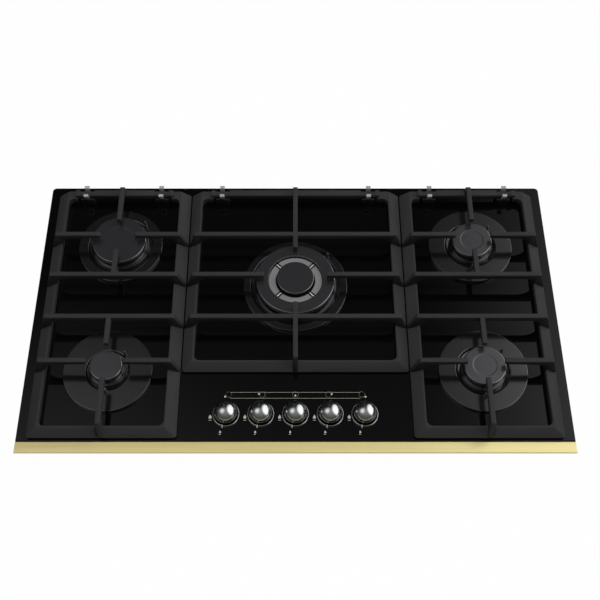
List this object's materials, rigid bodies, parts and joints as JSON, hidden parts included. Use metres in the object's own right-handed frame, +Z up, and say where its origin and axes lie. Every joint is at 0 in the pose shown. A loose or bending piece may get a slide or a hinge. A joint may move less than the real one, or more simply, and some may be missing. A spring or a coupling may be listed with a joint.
{
  "type": "gas cooktop",
  "caption": "Built-in black glass gas cooktop with a brushed metal front strip, dome knobs, a central wok burner and cast pan supports that tilt up on rear rails.",
  "frame": {"origin": "middle of the footprint of the glass top with its front strip, at the underside of the burner box", "axes": "+X to the user's right, +Y away from the user, +Z up"},
  "size_m": [0.9, 0.52, 0.099],
  "materials": {
    "black_glass": "polished opaque black tempered glass",
    "brushed_gold": "pale gold, brushed along its length",
    "seal_foam": "closed-cell foam tape",
    "zinc_sheet": "zinc-coated sheet steel",
    "black_enamel": "satin black enamel",
    "burner_alloy": "dark die-cast alloy",
    "cap_enamel": "satin blue-black enamel",
    "bright_aluminium": "turned bright aluminium",
    "plain_aluminium": "die-cast, unpainted",
    "cast_iron": "matt black enamelled cast iron",
    "chrome": "polished chrome",
    "steel": "turned steel",
    "brass": "machined brass",
    "black_plastic": "moulded black plastic"
  },
  "bodies": {
    "root": {"glass_top": "black_glass", "front_trim": "brushed_gold", "worktop_seal": "seal_foam", "burner_box": "zinc_sheet", "spill_plate_rear_left": "black_enamel", "spill_plate_rear_right": "black_enamel", "spill_plate_front_left": "black_enamel", "spill_plate_front_right": "black_enamel", "spill_plate_wok": "black_enamel", "burner_body_rear_left": "burner_alloy", "burner_body_rear_right": "burner_alloy", "burner_body_front_left": "burner_alloy", "burner_body_front_right": "burner_alloy", "burner_body_wok": "burner_alloy", "burner_cap_rear_left": "cap_enamel", "burner_cap_rear_right": "cap_enamel", "burner_cap_front_left": "cap_enamel", "burner_cap_front_right": "cap_enamel", "burner_cap_wok": "cap_enamel", "wok_ring_cap": "cap_enamel", "wok_flame_ring": "bright_aluminium", "burner_cup_rear_left": "plain_aluminium", "burner_cup_rear_right": "plain_aluminium", "burner_cup_front_left": "plain_aluminium", "burner_cup_front_right": "plain_aluminium", "burner_cup_wok": "plain_aluminium", "rail_clip_left_outer": "chrome", "rail_clip_left_inner": "chrome", "rail_clip_centre_left": "chrome", "rail_clip_centre_right": "chrome", "rail_clip_right_inner": "chrome", "rail_clip_right_outer": "chrome", "knob_bezel_front_left": "chrome", "knob_bezel_rear_left": "chrome", "knob_bezel_wok": "chrome", "knob_bezel_rear_right": "chrome", "knob_bezel_front_right": "chrome", "gas_manifold": "brass", "gas_inlet": "brass", "cable_gland": "black_plastic", "spark_generator": "black_plastic", "valve_rail": "zinc_sheet"},
    "left_support": {"pan_support_left": "cast_iron"},
    "centre_support": {"pan_support_centre": "cast_iron"},
    "right_support": {"pan_support_right": "cast_iron"},
    "front_left_valve": {"valve_plug_front_left": "brass"},
    "rear_left_valve": {"valve_plug_rear_left": "brass"},
    "wok_valve": {"valve_plug_wok": "brass"},
    "rear_right_valve": {"valve_plug_rear_right": "brass"},
    "front_right_valve": {"valve_plug_front_right": "brass"},
    "front_left_knob": {"knob_front_left": "chrome", "spindle_front_left": "steel"},
    "rear_left_knob": {"knob_rear_left": "chrome", "spindle_rear_left": "steel"},
    "wok_knob": {"knob_wok": "chrome", "spindle_wok": "steel"},
    "rear_right_knob": {"knob_rear_right": "chrome", "spindle_rear_right": "steel"},
    "front_right_knob": {"knob_front_right": "chrome", "spindle_front_right": "steel"}
  },
  "joints": [
    {"name": "left_support_tilt", "type": "hinge", "parent": "root", "child": "left_support", "pos_m": [-0.312, 0.232, 0.0725], "axis": [-1, 0, 0], "range_deg": [0, 80]},
    {"name": "centre_support_tilt", "type": "hinge", "parent": "root", "child": "centre_support", "pos_m": [0, 0.232, 0.0725], "axis": [-1, 0, 0], "range_deg": [0, 80]},
    {"name": "right_support_tilt", "type": "hinge", "parent": "root", "child": "right_support", "pos_m": [0.312, 0.232, 0.0725], "axis": [-1, 0, 0], "range_deg": [0, 80]},
    {"name": "front_left_turn", "type": "hinge", "parent": "root", "child": "front_left_valve", "pos_m": [-0.113, -0.1938, 0.04], "axis": [0, 0, 1], "range_deg": [0, 165]},
    {"name": "rear_left_turn", "type": "hinge", "parent": "root", "child": "rear_left_valve", "pos_m": [-0.0565, -0.1938, 0.04], "axis": [0, 0, 1], "range_deg": [0, 165]},
    {"name": "wok_turn", "type": "hinge", "parent": "root", "child": "wok_valve", "pos_m": [0, -0.1938, 0.04], "axis": [0, 0, 1], "range_deg": [0, 165]},
    {"name": "rear_right_turn", "type": "hinge", "parent": "root", "child": "rear_right_valve", "pos_m": [0.0565, -0.1938, 0.04], "axis": [0, 0, 1], "range_deg": [0, 165]},
    {"name": "front_right_turn", "type": "hinge", "parent": "root", "child": "front_right_valve", "pos_m": [0.113, -0.1938, 0.04], "axis": [0, 0, 1], "range_deg": [0, 165]},
    {"name": "front_left_push", "type": "slide", "parent": "front_left_valve", "child": "front_left_knob", "axis": [0, 0, -1], "range_m": [0, 0.004], "stiffness_N_per_m": 600, "springref_m": -0.01},
    {"name": "rear_left_push", "type": "slide", "parent": "rear_left_valve", "child": "rear_left_knob", "axis": [0, 0, -1], "range_m": [0, 0.004], "stiffness_N_per_m": 600, "springref_m": -0.01},
    {"name": "wok_push", "type": "slide", "parent": "wok_valve", "child": "wok_knob", "axis": [0, 0, -1], "range_m": [0, 0.004], "stiffness_N_per_m": 600, "springref_m": -0.01},
    {"name": "rear_right_push", "type": "slide", "parent": "rear_right_valve", "child": "rear_right_knob", "axis": [0, 0, -1], "range_m": [0, 0.004], "stiffness_N_per_m": 600, "springref_m": -0.01},
    {"name": "front_right_push", "type": "slide", "parent": "front_right_valve", "child": "front_right_knob", "axis": [0, 0, -1], "range_m": [0, 0.004], "stiffness_N_per_m": 600, "springref_m": -0.01}
  ]
}
